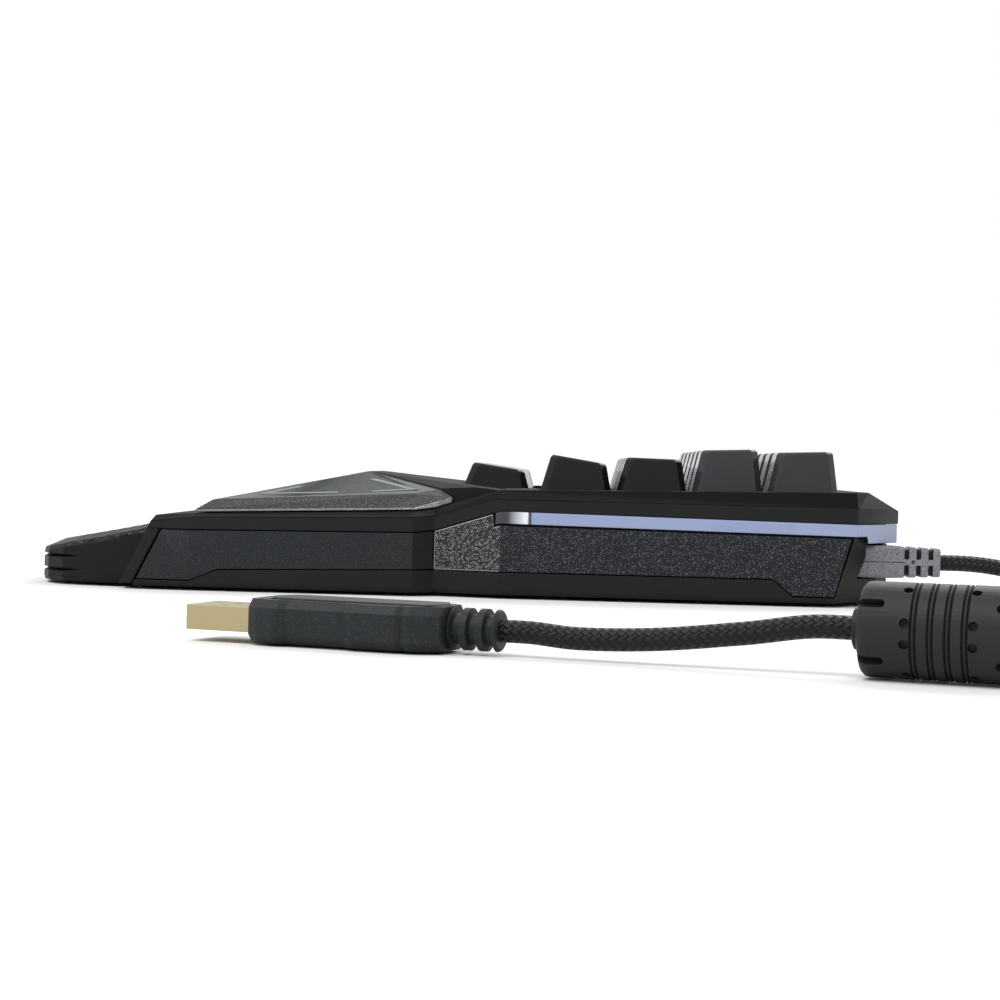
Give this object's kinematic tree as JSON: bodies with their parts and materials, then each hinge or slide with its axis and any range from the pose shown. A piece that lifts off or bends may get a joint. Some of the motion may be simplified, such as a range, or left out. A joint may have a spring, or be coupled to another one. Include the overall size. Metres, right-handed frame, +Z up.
{
  "type": "gaming keypad",
  "caption": "One-handed gaming keypad: faceted housing with a raised palm rest, a wrist rest, sprung keys, a side light strip and a braided lead to a flat plug.",
  "frame": {"origin": "on the table under the middle of the housing and its wrist rest", "axes": "+X from the wrist rest to the lead's end, -Y the user's right-hand side, +Z up"},
  "size_m": [0.2897, 0.3275, 0.0385],
  "materials": {
    "smooth_black": "smooth satin black",
    "textured_black": "grained black",
    "plate_grey": "grained dark grey",
    "inlay_grey": "glossy dark grey",
    "key_black": "satin dark grey",
    "bar_lilac": "translucent lilac-blue",
    "board_green": "green circuit board",
    "steel": "plain steel",
    "silicone": "soft white silicone",
    "film": "printed clear film",
    "rubber": "matt black rubber",
    "boot_grey": "rough dark grey",
    "braid": "black braid",
    "gold": "gold plated",
    "tongue_white": "white"
  },
  "bodies": {
    "housing": {"bottom_case": "smooth_black", "top_frame": "smooth_black", "key_deck": "smooth_black", "dome_sheet": "silicone", "membrane_circuit": "film", "back_plate": "steel", "controller_board": "board_green", "light_bar_right": "bar_lilac", "light_bar_left": "bar_lilac", "side_panel_front_right": "textured_black", "side_panel_front_left": "textured_black", "side_panel_rear_right": "textured_black", "side_panel_rear_left": "textured_black", "palm_plate": "plate_grey", "palm_inlay_right": "inlay_grey", "palm_inlay_left": "inlay_grey", "wrist_rest": "smooth_black", "foot_front_right": "rubber", "foot_front_left": "rubber", "foot_rear_right": "rubber", "foot_rear_left": "rubber", "cable_boot": "boot_grey", "cable_lead": "braid", "cable_coil": "braid", "cable_tail": "braid", "ferrite_bead": "rubber", "cable_end": "braid", "plug_body": "smooth_black", "usb_shell": "gold", "usb_tongue": "tongue_white", "screw_front_right": "steel", "screw_front_left": "steel", "screw_rear_right": "steel", "screw_rear_left": "steel"},
    "key_1_1": {"keycap_1_1": "key_black"},
    "key_1_2": {"keycap_1_2": "key_black"},
    "key_2_1": {"keycap_2_1": "key_black"},
    "key_2_2": {"keycap_2_2": "key_black"},
    "key_2_3": {"keycap_2_3": "key_black"},
    "key_2_4": {"keycap_2_4": "key_black"},
    "key_2_5": {"keycap_2_5": "key_black"},
    "key_2_6": {"keycap_2_6": "key_black"},
    "key_3_1": {"keycap_3_1": "key_black"},
    "key_3_2": {"keycap_3_2": "key_black"},
    "key_3_3": {"keycap_3_3": "key_black"},
    "key_3_4": {"keycap_3_4": "key_black"},
    "key_3_5": {"keycap_3_5": "key_black"},
    "key_3_6": {"keycap_3_6": "key_black"},
    "key_4_1": {"keycap_4_1": "key_black"},
    "key_4_2": {"keycap_4_2": "key_black"},
    "key_4_3": {"keycap_4_3": "key_black"},
    "key_4_4": {"keycap_4_4": "key_black"},
    "key_4_5": {"keycap_4_5": "key_black"},
    "key_4_6": {"keycap_4_6": "key_black"},
    "key_5_1": {"keycap_5_1": "key_black"},
    "key_5_2": {"keycap_5_2": "key_black"},
    "key_5_3": {"keycap_5_3": "key_black"},
    "key_5_4": {"keycap_5_4": "key_black"},
    "key_5_5": {"keycap_5_5": "key_black"},
    "key_5_6": {"keycap_5_6": "key_black"}
  },
  "joints": [
    {"name": "key_1_1_press", "type": "slide", "parent": "housing", "child": "key_1_1", "axis": [0, 0, -1], "range_m": [0, 0.0035], "stiffness_N_per_m": 150, "springref_m": -0.002, "deforming": ["dome_sheet"]},
    {"name": "key_1_2_press", "type": "slide", "parent": "housing", "child": "key_1_2", "axis": [0, 0, -1], "range_m": [0, 0.0035], "stiffness_N_per_m": 150, "springref_m": -0.002, "deforming": ["dome_sheet"]},
    {"name": "key_2_1_press", "type": "slide", "parent": "housing", "child": "key_2_1", "axis": [0, 0, -1], "range_m": [0, 0.0035], "stiffness_N_per_m": 150, "springref_m": -0.002, "deforming": ["dome_sheet"]},
    {"name": "key_2_2_press", "type": "slide", "parent": "housing", "child": "key_2_2", "axis": [0, 0, -1], "range_m": [0, 0.0035], "stiffness_N_per_m": 150, "springref_m": -0.002, "deforming": ["dome_sheet"]},
    {"name": "key_2_3_press", "type": "slide", "parent": "housing", "child": "key_2_3", "axis": [0, 0, -1], "range_m": [0, 0.0035], "stiffness_N_per_m": 150, "springref_m": -0.002, "deforming": ["dome_sheet"]},
    {"name": "key_2_4_press", "type": "slide", "parent": "housing", "child": "key_2_4", "axis": [0, 0, -1], "range_m": [0, 0.0035], "stiffness_N_per_m": 150, "springref_m": -0.002, "deforming": ["dome_sheet"]},
    {"name": "key_2_5_press", "type": "slide", "parent": "housing", "child": "key_2_5", "axis": [0, 0, -1], "range_m": [0, 0.0035], "stiffness_N_per_m": 150, "springref_m": -0.002, "deforming": ["dome_sheet"]},
    {"name": "key_2_6_press", "type": "slide", "parent": "housing", "child": "key_2_6", "axis": [0, 0, -1], "range_m": [0, 0.0035], "stiffness_N_per_m": 150, "springref_m": -0.002, "deforming": ["dome_sheet"]},
    {"name": "key_3_1_press", "type": "slide", "parent": "housing", "child": "key_3_1", "axis": [0, 0, -1], "range_m": [0, 0.0035], "stiffness_N_per_m": 150, "springref_m": -0.002, "deforming": ["dome_sheet"]},
    {"name": "key_3_2_press", "type": "slide", "parent": "housing", "child": "key_3_2", "axis": [0, 0, -1], "range_m": [0, 0.0035], "stiffness_N_per_m": 150, "springref_m": -0.002, "deforming": ["dome_sheet"]},
    {"name": "key_3_3_press", "type": "slide", "parent": "housing", "child": "key_3_3", "axis": [0, 0, -1], "range_m": [0, 0.0035], "stiffness_N_per_m": 150, "springref_m": -0.002, "deforming": ["dome_sheet"]},
    {"name": "key_3_4_press", "type": "slide", "parent": "housing", "child": "key_3_4", "axis": [0, 0, -1], "range_m": [0, 0.0035], "stiffness_N_per_m": 150, "springref_m": -0.002, "deforming": ["dome_sheet"]},
    {"name": "key_3_5_press", "type": "slide", "parent": "housing", "child": "key_3_5", "axis": [0, 0, -1], "range_m": [0, 0.0035], "stiffness_N_per_m": 150, "springref_m": -0.002, "deforming": ["dome_sheet"]},
    {"name": "key_3_6_press", "type": "slide", "parent": "housing", "child": "key_3_6", "axis": [0, 0, -1], "range_m": [0, 0.0035], "stiffness_N_per_m": 150, "springref_m": -0.002, "deforming": ["dome_sheet"]},
    {"name": "key_4_1_press", "type": "slide", "parent": "housing", "child": "key_4_1", "axis": [0, 0, -1], "range_m": [0, 0.0035], "stiffness_N_per_m": 150, "springref_m": -0.002, "deforming": ["dome_sheet"]},
    {"name": "key_4_2_press", "type": "slide", "parent": "housing", "child": "key_4_2", "axis": [0, 0, -1], "range_m": [0, 0.0035], "stiffness_N_per_m": 150, "springref_m": -0.002, "deforming": ["dome_sheet"]},
    {"name": "key_4_3_press", "type": "slide", "parent": "housing", "child": "key_4_3", "axis": [0, 0, -1], "range_m": [0, 0.0035], "stiffness_N_per_m": 150, "springref_m": -0.002, "deforming": ["dome_sheet"]},
    {"name": "key_4_4_press", "type": "slide", "parent": "housing", "child": "key_4_4", "axis": [0, 0, -1], "range_m": [0, 0.0035], "stiffness_N_per_m": 150, "springref_m": -0.002, "deforming": ["dome_sheet"]},
    {"name": "key_4_5_press", "type": "slide", "parent": "housing", "child": "key_4_5", "axis": [0, 0, -1], "range_m": [0, 0.0035], "stiffness_N_per_m": 150, "springref_m": -0.002, "deforming": ["dome_sheet"]},
    {"name": "key_4_6_press", "type": "slide", "parent": "housing", "child": "key_4_6", "axis": [0, 0, -1], "range_m": [0, 0.0035], "stiffness_N_per_m": 150, "springref_m": -0.002, "deforming": ["dome_sheet"]},
    {"name": "key_5_1_press", "type": "slide", "parent": "housing", "child": "key_5_1", "axis": [0, 0, -1], "range_m": [0, 0.0035], "stiffness_N_per_m": 150, "springref_m": -0.002, "deforming": ["dome_sheet"]},
    {"name": "key_5_2_press", "type": "slide", "parent": "housing", "child": "key_5_2", "axis": [0, 0, -1], "range_m": [0, 0.0035], "stiffness_N_per_m": 150, "springref_m": -0.002, "deforming": ["dome_sheet"]},
    {"name": "key_5_3_press", "type": "slide", "parent": "housing", "child": "key_5_3", "axis": [0, 0, -1], "range_m": [0, 0.0035], "stiffness_N_per_m": 150, "springref_m": -0.002, "deforming": ["dome_sheet"]},
    {"name": "key_5_4_press", "type": "slide", "parent": "housing", "child": "key_5_4", "axis": [0, 0, -1], "range_m": [0, 0.0035], "stiffness_N_per_m": 150, "springref_m": -0.002, "deforming": ["dome_sheet"]},
    {"name": "key_5_5_press", "type": "slide", "parent": "housing", "child": "key_5_5", "axis": [0, 0, -1], "range_m": [0, 0.0035], "stiffness_N_per_m": 150, "springref_m": -0.002, "deforming": ["dome_sheet"]},
    {"name": "key_5_6_press", "type": "slide", "parent": "housing", "child": "key_5_6", "axis": [0, 0, -1], "range_m": [0, 0.0035], "stiffness_N_per_m": 150, "springref_m": -0.002, "deforming": ["dome_sheet"]}
  ]
}
